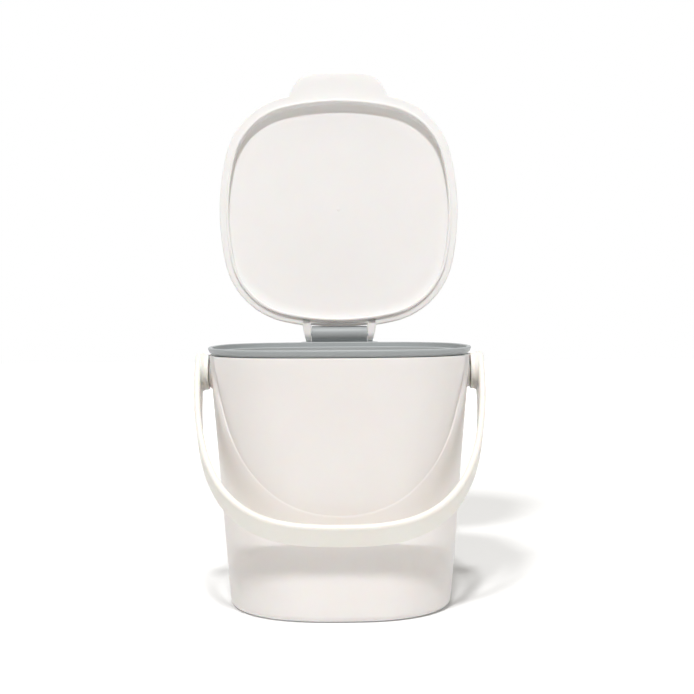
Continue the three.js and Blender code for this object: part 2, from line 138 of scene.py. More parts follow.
def moulded_plastic(name, plain, deep, roughness, milk=MILK_WEIGHT):
    """Satin polypropylene: soft wide highlights over a fine mould grain, with a slow drift of colour and
    gloss that the flow of the melt leaves, and milky where it lets light in."""
    material = bpy.data.materials.new(name)
    material.use_nodes = True
    material.node_tree.nodes.clear()
    place = add_node(material, "ShaderNodeTexCoord", {})
    flow = add_node(material, "ShaderNodeTexNoise", {"Scale": 1 / (FLOW_SPACING * MM), "Detail": FLOW_DETAIL},
                    [("Vector", place.outputs["Object"])])
    colour = add_node(material, "ShaderNodeMix",
                      {"data_type": "RGBA", COLOUR_A: linear(plain), COLOUR_B: linear(deep)},
                      [(0, flow.outputs["Fac"])])
    gloss = add_node(material, "ShaderNodeMapRange",
                     {"To Min": roughness - GLOSS_BELOW, "To Max": roughness + GLOSS_ABOVE},
                     [("Value", flow.outputs["Fac"])])
    grain = add_node(material, "ShaderNodeTexNoise", {"Scale": 1 / (GRAIN_SPACING * MM)},
                     [("Vector", place.outputs["Object"])])
    relief = add_node(material, "ShaderNodeBump", {"Strength": GRAIN_STRENGTH, "Distance": GRAIN_DEPTH * MM},
                      [("Height", grain.outputs["Fac"])])
    surface = add_node(material, "ShaderNodeBsdfPrincipled",
                       {"IOR": POLYPROPYLENE_IOR, "Metallic": 0.0, "Subsurface Weight": milk,
                        "Subsurface Radius": MILK_COLOURS, "Subsurface Scale": MILK_DEPTH * MM},
                       [("Base Color", colour.outputs[COLOUR_RESULT]), ("Roughness", gloss.outputs["Result"]),
                        ("Normal", relief.outputs["Normal"])])
    add_node(material, "ShaderNodeOutputMaterial", {}, [("Surface", surface.outputs["BSDF"])])
    return material


def blend(low, high, share):
    return low + (high - low) * share


def ease(share):
    """Share of a way that starts and ends softly."""
    share = min(max(share, 0.0), 1.0)
    return share * share * (3 - 2 * share)


def plan_point(plan, turn):
    """Point of a square with bulging sides and round corners. A turn counts quarters from +X."""
    half, corner, side = plan
    quarter, share = divmod(turn, 1.0)
    back = side - half
    reach = side - corner
    centre = (math.sqrt(2 * reach * reach - back * back) - back) / 2
    lean = math.atan2(centre, centre + back)
    if share < PLAN_ARC_SHARE:
        angle = lean * share / PLAN_ARC_SHARE
        x, y = side * math.cos(angle) - back, side * math.sin(angle)
    elif share <= 1 - PLAN_ARC_SHARE:
        angle = blend(lean, math.pi / 2 - lean, (share - PLAN_ARC_SHARE) / (1 - 2 * PLAN_ARC_SHARE))
        x, y = centre + corner * math.cos(angle), centre + corner * math.sin(angle)
    else:
        angle = math.pi / 2 - lean * (1 - share) / PLAN_ARC_SHARE
        x, y = side * math.cos(angle), side * math.sin(angle) - back
    for _ in range(int(quarter) % 4):
        x, y = -y, x
    return x, y * PLAN_DEPTH_SHARE


def pail_plan(z, inset=0.0):
    """Half width, corner radius and side radius of the pail's plan at a height, brought in by an inset."""
    share = min(z / PAIL_TOP, 1.0)
    half = blend(PAIL_BASE_HALF, PAIL_RIM_HALF, share)
    corner = blend(PAIL_BASE_CORNER, PAIL_RIM_CORNER, share)
    side = half * blend(BASE_SIDE_SHARE, RIM_SIDE_SHARE, share)
    return half - inset, corner - inset, side - inset


def plan_loop(z, inset, turns):
    """Loop of points round the pail's plan at a height, brought in by an inset."""
    return [(*plan_point(pail_plan(z, inset), turn), z) for turn in turns]


def turn_where(z, low, high, axis, value):
    """Turn between two turns at which the pail's plan reaches a value of x (axis 0) or y (axis 1)."""
    rising = plan_point(pail_plan(z), high)[axis] > plan_point(pail_plan(z), low)[axis]
    for _ in range(HALVINGS):
        between = (low + high) / 2
        if (plan_point(pail_plan(z), between)[axis] < value) == rising:
            low = between
        else:
            high = between
    return low


def cubic(points, share):
    """Point of a cubic curve and its direction."""
    a, b, c, d = (np.array(p, float) for p in points)
    rest = 1 - share
    place = rest**3 * a + 3 * rest**2 * share * b + 3 * rest * share**2 * c + share**3 * d
    along = rest**2 * (b - a) + 2 * rest * share * (c - b) + share**2 * (d - c)
    return place, along / np.linalg.norm(along)


def quarter_round(radius, steps):
    """Points of a rounded edge, each as the way in from its side and the way up from its foot."""
    angles = [math.pi / 2 * step / steps for step in range(steps + 1)]
    return [(radius * (1 - math.sin(angle)), radius * (1 - math.cos(angle))) for angle in angles]


def skin(loops, closed=(True, True), ring=False):
    """Quads over a row of loops with as many points each. Either end gets a fan, or the row is a ring."""
    count = len(loops[0])
    points = [p for loop in loops for p in loop]
    faces = []
    for k in range(len(loops) if ring else len(loops) - 1):
        low = k * count
        high = (k + 1) % len(loops) * count
        for i in range(count):
            j = (i + 1) % count
            faces.append((low + i, low + j, high + j, high + i))
    for end, wanted in zip((0, len(loops) - 1), (False, False) if ring else closed):
        if wanted:
            points.append(tuple(sum(p[k] for p in loops[end]) / count for k in range(3)))
            for i in range(count):
                a, b = end * count + i, end * count + (i + 1) % count
                faces.append((len(points) - 1, b, a) if end == 0 else (len(points) - 1, a, b))
    return points, faces


def turned_about_x(profile, y=0.0, z=0.0, way=1, steps=TURNED_STEPS, closed=(True, True), ring=False):
    """Skin of a profile of (x, radius) points turned about an axis along X. way is 1 to the right."""
    loops = []
    for x, radius in profile:
        angles = [way * 2 * math.pi * k / steps for k in range(steps)]
        loops.append([(way * x, y + radius * math.cos(a), z + radius * math.sin(a)) for a in angles])
    return skin(loops, closed, ring)


def make_piece(name, parts, body, material, turned=None):
    """One mesh piece out of several skins in millimetres, welded, and smooth but for its sharp edges."""
    mesh = bpy.data.meshes.new(name)
    shape = bmesh.new()
    for points, faces in parts:
        rows = [shape.verts.new(Vector(p) * MM) for p in points]
        for face in faces:
            if len(set(face)) > 2:
                shape.faces.new([rows[i] for i in face])
    bmesh.ops.remove_doubles(shape, verts=shape.verts, dist=WELD * MM)
    bmesh.ops.delete(shape, geom=[v for v in shape.verts if not v.link_faces], context="VERTS")
    if turned is not None:
        shape.transform(turned)
    shape.to_mesh(mesh)
    shape.free()
    mesh.shade_smooth()
    mesh.set_sharp_from_angle(angle=math.radians(SHARP_ANGLE))
    mesh.materials.append(material)
    piece = bpy.data.objects.new(name, mesh)
    bpy.context.scene.collection.objects.link(piece)
    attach(piece, body)
    return piece


# The pail's wall laid flat, in length round it and height. A quarter of the way round is one turn.
FRONT_TURN = 3
SEAM_TURN = 1
SIDE_TURNS = (2, 4)
HALF_QUARTER = 0.5
QUARTER_LENGTH = 145.0
WALL_LOW = PAIL_BASE_ROUND
WALL_HIGH = PAIL_TOP - PAIL_RIM_ROUND
PANEL_STEPS = 70
PANEL_TOP_SPARE = 0.01
PANEL_MIDDLE_SPARE = 0.001
CLIMB_STEPS = 5
CLIMB_PAST_RIM = 40.0

# The panel's edge on the flat wall, carried on past the rim, and the way out of the panel along it.
right_edge = []
for step in range(PANEL_STEPS + 1):
    place, _ = cubic(PANEL_EDGE, step / PANEL_STEPS)
    height = min(place[1], PAIL_TOP - PANEL_TOP_SPARE)
    turn = turn_where(height, FRONT_TURN - PANEL_MIDDLE_SPARE, FRONT_TURN + 1, 0, place[0])
    right_edge.append((turn * QUARTER_LENGTH, height))
climb = np.array(right_edge[-1]) - np.array(right_edge[-1 - CLIMB_STEPS])
right_edge.append(tuple(np.array(right_edge[-1]) + climb / climb[1] * CLIMB_PAST_RIM))
front = FRONT_TURN * QUARTER_LENGTH
panel_line = np.array([(2 * front - u, z) for u, z in reversed(right_edge[1:])] + right_edge)
panel_along = np.gradient(panel_line, axis=0)
panel_out = np.stack([panel_along[:, 1], -panel_along[:, 0]], 1)
panel_out /= np.linalg.norm(panel_out, axis=1)[:, None]


def panel_depth(turn, z):
    """How far the wall is let in: a valley along the panel's edge, deeper towards the rim, with a lip."""
    if not FRONT_TURN - 1 < turn < FRONT_TURN + 1:
        return 0.0
    away = np.array((turn * QUARTER_LENGTH, z)) - panel_line
    nearest = np.argmin((away**2).sum(1))
    outside = away[nearest] @ panel_out[nearest]
    valley = blend(VALLEY_LEAST, VALLEY_DEPTH, ease((z - VALLEY_FOOT) / (VALLEY_FULL - VALLEY_FOOT)))
    if outside <= 0:
        return valley * max(1 + outside / VALLEY_IN, 0.0) ** VALLEY_IN_POWER
    lip = LIP_HEIGHT * min(valley, LIP_FULL_VALLEY)
    rise = max(1 - outside / VALLEY_OUT, 0.0) ** VALLEY_OUT_POWER
    return (valley - lip) * rise + lip * (1 - ease(outside / LIP_WIDTH))


def inner_depth(turn, z):
    """The inner wall follows the deepest part of the valley, so that the wall keeps its strength."""
    return max(panel_depth(turn, min(z, WALL_HIGH)) - VALLEY_SPARE, 0.0)


def pail_wall_point(turn, z, inset=0.0):
    """Point of the pail's outer wall, with the panel let in and the pads raised."""
    x, y = plan_point(pail_plan(z, inset + panel_depth(turn, min(z, WALL_HIGH))), turn)
    from_pad = math.hypot(y, z - PAD_HEIGHT)
    raised = 1 - ease((from_pad - PAD_INNER_RADIUS) / (PAD_OUTER_RADIUS - PAD_INNER_RADIUS))
    return blend(x, math.copysign(PAD_FACE, x), raised), y, z


# Lines of points along the panel's edge and round the pads and sockets, so that all keep a clean line.
PANEL_LINE_OFFSETS = (-16.0, -11.0, -7.0, -4.0, -1.8, -0.6, 0.0, 0.3, 0.7, 1.8, 3.4, 5.4, 7.4, 9.4)
LINE_END_SPARE = 0.5
PAD_RINGS = 5
SOCKET_STEPS = 56

wall_lines = []
for offset in PANEL_LINE_OFFSETS:
    line = [tuple(p) for p in panel_line + offset * panel_out]
    inside = [p for p in line if p[1] < WALL_HIGH - LINE_END_SPARE]
    first = line.index(inside[0])
    last = line.index(inside[-1])
    for end, (a, b) in ((0, (line[first - 1], line[first])), (1, (line[last + 1], line[last]))):
        share = (WALL_HIGH - b[1]) / (a[1] - b[1])
        inside.insert(len(inside) * end, (blend(b[0], a[0], share), WALL_HIGH))
    wall_lines.append(([(u / QUARTER_LENGTH, z) for u, z in inside], False))
pad_radii = [blend(PAD_INNER_RADIUS, PAD_OUTER_RADIUS, k / PAD_RINGS) for k in range(PAD_RINGS + 1)]
for side_turn in SIDE_TURNS:
    for radius in [SOCKET_RADIUS] + pad_radii:
        line = []
        for step in range(SOCKET_STEPS):
            angle = 2 * math.pi * step / SOCKET_STEPS
            y, z = radius * math.cos(angle), PAD_HEIGHT + radius * math.sin(angle)
            low, high = side_turn - HALF_QUARTER, side_turn + HALF_QUARTER
            line.append((turn_where(min(z, PAIL_TOP), low, high, 1, y), z))
        wall_lines.append((line, True))

# A grid of points fills the rest of the flat wall, which is then triangulated between its lines.
COLUMNS_A_QUARTER = 40
COLUMN_SPARE = 0.006
ROW_SPACING = 6.0
POINT_SPARE = 1.6
SAME_TURN = 1e-9
SAME_POINT = 1e-5

columns = [SEAM_TURN + k / COLUMNS_A_QUARTER for k in range(4 * COLUMNS_A_QUARTER + 1)]
edge_turns = sorted(p[0] for line, closed in wall_lines if not closed for p in (line[0], line[-1]))
columns = [turn for turn in columns if min(abs(turn - e) for e in edge_turns) > COLUMN_SPARE]
columns = sorted(columns + edge_turns)
row_count = round((WALL_HIGH - WALL_LOW) / ROW_SPACING)
lined = np.array([(turn * QUARTER_LENGTH, z) for line, closed in wall_lines for turn, z in line])
flat_points = []
for row in range(row_count + 1):
    z = blend(WALL_LOW, WALL_HIGH, row / row_count)
    for turn in columns:
        clear = min(((lined - (turn * QUARTER_LENGTH, z)) ** 2).sum(1)) > POINT_SPARE**2
        on_grid = min(abs(turn - e) for e in edge_turns) > SAME_TURN
        if row in (0, row_count) or (clear and on_grid):
            flat_points.append((turn * QUARTER_LENGTH, z))
flat_edges = []
for line, closed in wall_lines:
    first = len(flat_points)
    flat_points += [(turn * QUARTER_LENGTH, z) for turn, z in line]
    flat_edges += [(first + i, first + i + 1) for i in range(len(line) - 1)]
    if closed:
        flat_edges.append((first + len(line) - 1, first))
flat, _, flat_faces, *_ = delaunay_2d_cdt([Vector(p) for p in flat_points], flat_edges, [], 0, SAME_POINT)


def in_socket(face):
    """Whether a triangle of the flat wall lies in the mouth of a socket."""
    turn = sum(flat[i].x for i in face) / len(face) / QUARTER_LENGTH
    z = sum(flat[i].y for i in face) / len(face)
    x, y = plan_point(pail_plan(z), turn)
    return abs(x) > abs(y) and math.hypot(y, z - PAD_HEIGHT) < SOCKET_RADIUS


wall_points = [pail_wall_point(p.x / QUARTER_LENGTH, p.y) for p in flat]
wall_faces = [tuple(face) for face in flat_faces if not in_socket(face)]

# Below the wall: the underside with its groove, and the round up to the wall.
UNDERSIDE_LOOP = 30.0
BASE_ROUND_SPARE = 1.0
BASE_STEPS = 8

groove_inner = PAIL_BASE_HALF - GROOVE_INNER_HALF
groove_outer = PAIL_BASE_HALF - GROOVE_OUTER_HALF
under = [(0.0, groove_inner + UNDERSIDE_LOOP), (0.0, groove_inner),
         (GROOVE_DEPTH, groove_inner - GROOVE_DRAFT), (GROOVE_DEPTH, groove_outer + GROOVE_DRAFT),
         (0.0, groove_outer), (0.0, PAIL_BASE_ROUND + BASE_ROUND_SPARE)]
loop_turns = columns[:-1]
low_loops = []
for z, inset in under:
    base = (PAIL_BASE_HALF - inset, PAIL_BASE_CORNER - inset, BASE_SIDE_SHARE * PAIL_BASE_HALF - inset)
    low_loops.append([(*plan_point(base, turn), z) for turn in loop_turns])
for inset, rise in quarter_round(PAIL_BASE_ROUND, BASE_STEPS):
    low_loops.append(plan_loop(rise, inset, loop_turns))

# Above the wall: over the rim, down the inner wall, and round the fillet to the middle of the floor.
RIM_STEPS = 4
INNER_WALL_STEPS = 15
FILLET_STEPS = 8
FLOOR_LOOPS = (30.0, 50.0)

rim_round = quarter_round(PAIL_RIM_ROUND, RIM_STEPS)
fillet_top = PAIL_FLOOR + PAIL_FLOOR_FILLET
high_loops = []
for drop, inset in rim_round:
    high_loops.append([pail_wall_point(turn, PAIL_TOP - drop, inset) for turn in loop_turns])
inner_stations = [(PAIL_WALL - out, PAIL_TOP - drop) for out, drop in rim_round]
for step in range(1, INNER_WALL_STEPS + 1):
    inner_stations.append((PAIL_WALL, blend(WALL_HIGH, fillet_top, step / INNER_WALL_STEPS)))
for inset, z in inner_stations:
    high_loops.append([(*plan_point(pail_plan(z, inset + inner_depth(turn, z)), turn), z)
                       for turn in loop_turns])
for inset, rise in reversed(quarter_round(PAIL_FLOOR_FILLET, FILLET_STEPS)[:-1]):
    high_loops.append(plan_loop(PAIL_FLOOR + rise, PAIL_WALL + inset, loop_turns))
for inset in FLOOR_LOOPS:
    high_loops.append(plan_loop(PAIL_FLOOR, inset, loop_turns))

socket_profile = [(PAD_FACE, SOCKET_RADIUS), (PAD_FACE - SOCKET_DEPTH, SOCKET_RADIUS)]
sockets = [turned_about_x(socket_profile, z=PAD_HEIGHT, way=way, steps=SOCKET_STEPS, closed=(False, True))
           for way in (-1, 1)]

# A neutral satin white: its broad highlights stay soft, and shadows on it are faintly warm.
white_plastic = moulded_plastic("polypropylene_satin_white", PAIL_WHITE, PAIL_WHITE_DEEP, PAIL_ROUGHNESS)
pail = make_piece("pail_moulding", [skin(low_loops, (True, False)), (wall_points, wall_faces),
                                    skin(high_loops, (False, True)), *sockets],
                  "pail", white_plastic)
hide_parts("bin_body")

# Handle: one white polypropylene strap, moulded as a loop and rounded along its edges. A boss at each end
# turns on a short stub between it and the pail's pad. It is drawn hanging straight down and then swung
# forward until it rests on the front of the pail.
STRAP_OUTER_HALF = 103.7
STRAP_REACH = 143.8
STRAP_RISE = 33.0
STRAP_SWELL_SHARE = 1.089
STRAP_SHOULDER_SHARE = 0.963
STRAP_BOTTOM_SHARE = 0.518
STRAP_THICKNESS = 4.8
STRAP_HALF_WIDTH = 11.4
STRAP_END_RADIUS = 14.0
STRAP_TAPER_END = 62.0
STRAP_EDGE_ROUND = 2.3
GRIP_REST_GAP = 0.45
GRIP_THICKNESS = 4.4
BOSS_RADIUS = 13.0
BOSS_GAP = 0.9
BOSS_ROUND = 0.9
BOSS_SUNK = 1.6
FLARE_BEFORE_STRAP = 1.4
FLARE_INTO_STRAP = 0.9
FLARE_OUT = 1.1
FLARE_ROUND = 1.2
BORE_RADIUS = 5.1
BORE_DEPTH = 5.0
BORE_MOUTH_ROUND = 0.3
AXIS_RADIUS = 0.01
HANDLE_WHITE = "f8f6f0"
HANDLE_WHITE_DEEP = "f4f1ea"
HANDLE_ROUGHNESS = 0.35
STRAP_SAMPLES = 500
LEG_SAMPLES = 360
STRAP_END_STEPS = 16
STRAP_TAPER_STEPS = 16
STRAP_GRIP_STEPS = 60
STRAP_EDGE_STEPS = 6
ROUNDED_STEPS = 5
STRAIGHT_SPARE = 0.01

grip_arm = STRAP_REACH - GRIP_THICKNESS
pail_slope = PLAN_DEPTH_SHARE * (PAIL_RIM_HALF - PAIL_BASE_HALF) / PAIL_TOP
grip_along = STRAP_HALF_WIDTH - pail_slope * grip_arm
grip_across = grip_arm + pail_slope * STRAP_HALF_WIDTH
grip_front = PLAN_DEPTH_SHARE * PAIL_BASE_HALF + pail_slope * PAD_HEIGHT + GRIP_REST_GAP
grip_lean = math.atan2(grip_across, grip_along)
hang_angle = math.acos(-grip_front / math.hypot(grip_along, grip_across)) - grip_lean
handle_turned = Matrix.Translation(Vector((0.0, 0.0, PAD_HEIGHT)) * MM) @ Matrix.Rotation(-hang_angle, 4, "X")


def run_along(places):
    """Length run along a row of places, at each of them."""
    return np.concatenate([[0], np.cumsum(np.linalg.norm(np.diff(places, axis=0), axis=1))])


strap_whole = STRAP_REACH + STRAP_RISE
strap_curve = ((STRAP_OUTER_HALF, STRAP_RISE),
               (STRAP_SWELL_SHARE * STRAP_OUTER_HALF, STRAP_RISE - STRAP_SHOULDER_SHARE * strap_whole),
               (STRAP_BOTTOM_SHARE * STRAP_OUTER_HALF, -STRAP_REACH), (0.0, -STRAP_REACH))
strap_samples = [cubic(strap_curve, step / STRAP_SAMPLES) for step in range(STRAP_SAMPLES + 1)]
strap_places = np.array([place for place, along in strap_samples])
strap_ways = np.array([along for place, along in strap_samples])
strap_run = run_along(strap_places)
strap_half_length = strap_run[-1]


def strap_point(run, across, inward):
    """Point of the strap: run along it from the top of the curve, across it, and in from its outside."""
    way = 1 if run <= strap_half_length else -1
    run = min(run, 2 * strap_half_length - run)
    x, z = (np.interp(run, strap_run, strap_places[:, k]) for k in (0, 1))
    along_x, along_z = (np.interp(run, strap_run, strap_ways[:, k]) for k in (0, 1))
    return way * (x + along_z * inward), across, z - along_x * inward


def run_at_height(z):
    """Run along the strap at which its leg is at a height."""
    return np.interp(-z, -strap_places[:LEG_SAMPLES, 1], strap_run[:LEG_SAMPLES])


def slab_edge(low, high, radius, steps):
    """Inset and height of the loops round the edge of a slab, from its underside to its top."""
    corner = quarter_round(radius, steps)
    lower = [(inset, low + rise) for inset, rise in corner]
    return lower + [(inset, high - rise) for inset, rise in reversed(corner)]


def rounded(corners, steps=ROUNDED_STEPS):
    """Closed outline through corners (a, b, radius), each corner rounded by its radius."""
    outline = []
    for i, (a, b, radius) in enumerate(corners):
        corner = np.array((a, b))
        back = np.array(corners[i - 1][:2]) - corner
        ahead = np.array(corners[(i + 1) % len(corners)][:2]) - corner
        back, ahead = back / np.linalg.norm(back), ahead / np.linalg.norm(ahead)
        half_angle = math.acos(max(-1.0, min(1.0, back @ ahead))) / 2
        if radius <= 0 or half_angle > math.pi / 2 - STRAIGHT_SPARE:
            outline.append((a, b))
            continue
        centre = corner + (back + ahead) / np.linalg.norm(back + ahead) * radius / math.sin(half_angle)
        first = corner + back * radius / math.tan(half_angle) - centre
        last = corner + ahead * radius / math.tan(half_angle) - centre
        sweep = math.atan2(first[0] * last[1] - first[1] * last[0], first @ last)
        for step in range(steps + 1):
            c, s = math.cos(sweep * step / steps), math.sin(sweep * step / steps)
            outline.append((centre[0] + c * first[0] - s * first[1], centre[1] + s * first[0] + c * first[1]))
    return outline


# The strap's edge as run and half width: round its end, in along its taper, and straight along the grip.
taper = ((0, STRAP_END_RADIUS), (STRAP_TAPER_END / 2, STRAP_END_RADIUS),
         (STRAP_TAPER_END / 2, STRAP_HALF_WIDTH), (STRAP_TAPER_END, STRAP_HALF_WIDTH))
edge_line = []
for step in range(STRAP_END_STEPS + 1):
    angle = math.pi / 2 * (1 - step / STRAP_END_STEPS)
    edge_line.append((run_at_height(STRAP_END_RADIUS * math.sin(angle)), STRAP_END_RADIUS * math.cos(angle)))
for step in range(1, STRAP_TAPER_STEPS + 1):
    (down, half_width), _ = cubic(taper, step / STRAP_TAPER_STEPS)
    edge_line.append((run_at_height(-down), half_width))
grip_start = run_at_height(-STRAP_TAPER_END)
for step in range(1, STRAP_GRIP_STEPS + 1):
    edge_line.append((blend(grip_start, strap_half_length, step / STRAP_GRIP_STEPS), STRAP_HALF_WIDTH))
edge_line += [(2 * strap_half_length - run, across) for run, across in reversed(edge_line[:-1])]

edge_steps = slab_edge(0, STRAP_THICKNESS, STRAP_EDGE_ROUND, STRAP_EDGE_STEPS)
strap_loops = []
for i, (run, across) in enumerate(edge_line):
    before = edge_line[max(i - 1, 0)]
    after = edge_line[min(i + 1, len(edge_line) - 1)]
    out_run, out_across = before[1] - after[1], after[0] - before[0]
    if i in (0, len(edge_line) - 1):
        out_run, out_across = (-1.0, 0.0) if i == 0 else (1.0, 0.0)
    size = math.hypot(out_run, out_across)
    chain = [(run - inset * out_run / size, across - inset * out_across / size, inward)
             for inset, inward in edge_steps]
    one_side = [strap_point(r, -a, n) for r, a, n in chain]
    other_side = [strap_point(r, a, n) for r, a, n in reversed(chain)]
    strap_loops.append(one_side + other_side)

boss_face = PAD_FACE + BOSS_GAP
boss_end = STRAP_OUTER_HALF - BOSS_SUNK
strap_inside = STRAP_OUTER_HALF - STRAP_THICKNESS
boss_profile = rounded([(boss_face + BORE_DEPTH, AXIS_RADIUS, 0), (boss_face + BORE_DEPTH, BORE_RADIUS, 0),
                        (boss_face, BORE_RADIUS, BORE_MOUTH_ROUND), (boss_face, BOSS_RADIUS, BOSS_ROUND),
                        (strap_inside - FLARE_BEFORE_STRAP, BOSS_RADIUS, FLARE_ROUND),
                        (strap_inside + FLARE_INTO_STRAP, BOSS_RADIUS + FLARE_OUT, 0),
                        (boss_end, BOSS_RADIUS, 0), (boss_end, AXIS_RADIUS, 0)])

# A creamier white than the pail and a shade less glossy, so that the strap stands out in front of it.
handle_plastic = moulded_plastic("polypropylene_satin_cream", HANDLE_WHITE, HANDLE_WHITE_DEEP,
                                 HANDLE_ROUGHNESS)
bosses = [turned_about_x(boss_profile, way=way) for way in (1, -1)]
handle = make_piece("handle_strap", [skin(strap_loops, closed=(False, False)), *bosses],
                    "handle", handle_plastic, turned=handle_turned)
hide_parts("handle")
for stub in ("handle_pivot_left", "handle_pivot_right"):
    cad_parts[stub].data.materials.clear()
    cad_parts[stub].data.materials.append(handle_plastic)

# Rim collar: one grey polypropylene moulding that lies on the pail's rim and reaches inside it with a
# sleeve. At the back it carries a shelf, and on the shelf the knuckle of the hinge, which stands on a web.
COLLAR_GAP = 0.4
COLLAR_HEIGHT = 5.0
COLLAR_FOOT = PAIL_TOP + COLLAR_GAP
COLLAR_TOP = COLLAR_FOOT + COLLAR_HEIGHT
COLLAR_LEDGE = COLLAR_TOP - 3.8
COLLAR_PROUD = 0.8
COLLAR_SETBACK = 1.4
COLLAR_THROAT = 2.1
FOOT_DRAFT = 0.4
FOOT_RISE = 0.8
SLANT_OUT = 1.1
SLANT_FOOT = 1.4
FACE_HEIGHT = 1.3
FOOT_ROUND = 0.2
SLANT_ROUND = 0.3
FACE_ROUND = 0.5
BRIM_ROUND = 0.8
LEDGE_ROUND = 0.3
SLEEVE_TOP_ROUND = 0.4
SLEEVE_ROUND = 0.5
SLEEVE_CLEARANCE = 2.3
SLEEVE_WALL = 1.9
SLEEVE_LENGTH = 13.0
SLEEVE_OUT = PAIL_WALL + SLEEVE_CLEARANCE
SLEEVE_IN = SLEEVE_OUT + SLEEVE_WALL
SLEEVE_FOOT = COLLAR_FOOT - SLEEVE_LENGTH
LID_OVERHANG = 2.4
LID_HALF_DEPTH = (PAIL_RIM_HALF + LID_OVERHANG) * PLAN_DEPTH_SHARE
LID_NOTCH = 3.1
HINGE_REACH = 7.2
HINGE_Y = LID_HALF_DEPTH - LID_NOTCH + HINGE_REACH
HINGE_GAP = 0.3
KNUCKLE_RADIUS = 6.2
KNUCKLE_HALF = 22.2
KNUCKLE_ROUND = 0.5
KNUCKLE_BORE_ROUND = 0.2
HINGE_Z = COLLAR_TOP + HINGE_GAP + KNUCKLE_RADIUS
PIN_BORE_RADIUS = 2.05
BACK_TURN = 1
SHELF_HALF = 31.0
SHELF_NEAR_INSET = 1.6
SHELF_CORNER = 5.0
SHELF_EDGE_ROUND = 0.6
WEB_SETBACK = 3.0
WEB_THICKNESS = 2.5
WEB_SUNK = 1.0
WEB_UNDER_BORE = 1.0
COLLAR_GREY = "adb2b4"
COLLAR_GREY_DEEP = "a7acaf"
COLLAR_ROUGHNESS = 0.46
COLLAR_STEPS_A_QUARTER = 60
SHELF_STEPS = 24
SLAB_EDGE_STEPS = 4
SHARPEST_MITER = 0.4
SMALLEST_LENGTH = 1e-9

collar_section = rounded([(COLLAR_SETBACK + FOOT_DRAFT, COLLAR_FOOT, FOOT_ROUND),
                          (COLLAR_SETBACK, COLLAR_FOOT + FOOT_RISE, FOOT_ROUND),
                          (COLLAR_SETBACK - SLANT_OUT, COLLAR_FOOT + SLANT_FOOT, SLANT_ROUND),
                          (-COLLAR_PROUD, COLLAR_TOP - FACE_HEIGHT, FACE_ROUND),
                          (-COLLAR_PROUD, COLLAR_TOP, BRIM_ROUND),
                          (COLLAR_THROAT, COLLAR_TOP, BRIM_ROUND), (COLLAR_THROAT, COLLAR_LEDGE, LEDGE_ROUND),
                          (SLEEVE_IN, COLLAR_LEDGE, SLEEVE_TOP_ROUND), (SLEEVE_IN, SLEEVE_FOOT, SLEEVE_ROUND),
                          (SLEEVE_OUT, SLEEVE_FOOT, SLEEVE_ROUND), (SLEEVE_OUT, COLLAR_FOOT, 0)])
collar_turns = [k / COLLAR_STEPS_A_QUARTER for k in range(4 * COLLAR_STEPS_A_QUARTER)]
collar_loops = [plan_loop(z, inset, collar_turns) for inset, z in collar_section]


def inset_outline(outline, amount):
    """A closed anticlockwise outline, brought in by an amount."""
    moved = []
    for i, here in enumerate(outline):
        before, after = np.array(outline[i - 1]), np.array(outline[(i + 1) % len(outline)])
        here = np.array(here)
        first, last = here - before, after - here
        first, last = first / np.linalg.norm(first), last / np.linalg.norm(last)
        inward = np.array((-first[1] - last[1], first[0] + last[0]))
        inward /= max(np.linalg.norm(inward), SMALLEST_LENGTH)
        miter = max(inward @ np.array((-first[1], first[0])), SHARPEST_MITER)
        moved.append(tuple(here + inward * amount / miter))
    return moved


def slab_loops(outline, low, high, radius):
    """Loops of a slab with an outline and rounded edges."""
    return [[(x, y, z) for x, y in inset_outline(outline, inset)]
            for inset, z in slab_edge(low, high, radius, SLAB_EDGE_STEPS)]


shelf_near = []
for step in range(SHELF_STEPS + 1):
    x = blend(-SHELF_HALF, SHELF_HALF, step / SHELF_STEPS)
    turn = turn_where(PAIL_TOP, BACK_TURN - HALF_QUARTER, BACK_TURN + HALF_QUARTER, 0, x)
    shelf_near.append(plan_point(pail_plan(PAIL_TOP, SHELF_NEAR_INSET), turn))
shelf_far = HINGE_Y + KNUCKLE_RADIUS + SHELF_EDGE_ROUND
shelf_back = rounded([(SHELF_HALF, shelf_near[-1][1], 0), (SHELF_HALF, shelf_far, SHELF_CORNER),
                      (-SHELF_HALF, shelf_far, SHELF_CORNER), (-SHELF_HALF, shelf_near[0][1], 0)])
shelf_loops = slab_loops(shelf_near[1:-1] + shelf_back, COLLAR_FOOT, COLLAR_TOP, SHELF_EDGE_ROUND)

knuckle_profile = rounded([(-KNUCKLE_HALF, PIN_BORE_RADIUS, KNUCKLE_BORE_ROUND),
                           (-KNUCKLE_HALF, KNUCKLE_RADIUS, KNUCKLE_ROUND),
                           (KNUCKLE_HALF, KNUCKLE_RADIUS, KNUCKLE_ROUND),
                           (KNUCKLE_HALF, PIN_BORE_RADIUS, KNUCKLE_BORE_ROUND)])
web_near = HINGE_Y - KNUCKLE_RADIUS + WEB_SETBACK
web_far = HINGE_Y + KNUCKLE_RADIUS
web_foot = COLLAR_TOP - WEB_SUNK
web_top = HINGE_Z - PIN_BORE_RADIUS - WEB_UNDER_BORE
web_outline = [(web_near, web_foot), (web_far, web_foot), (web_far, HINGE_Z),
               (web_far - WEB_THICKNESS, HINGE_Z), (web_far - WEB_THICKNESS, web_top), (web_near, web_top)]
web_loops = [[(x, y, z) for y, z in web_outline] for x in (-KNUCKLE_HALF, KNUCKLE_HALF)]

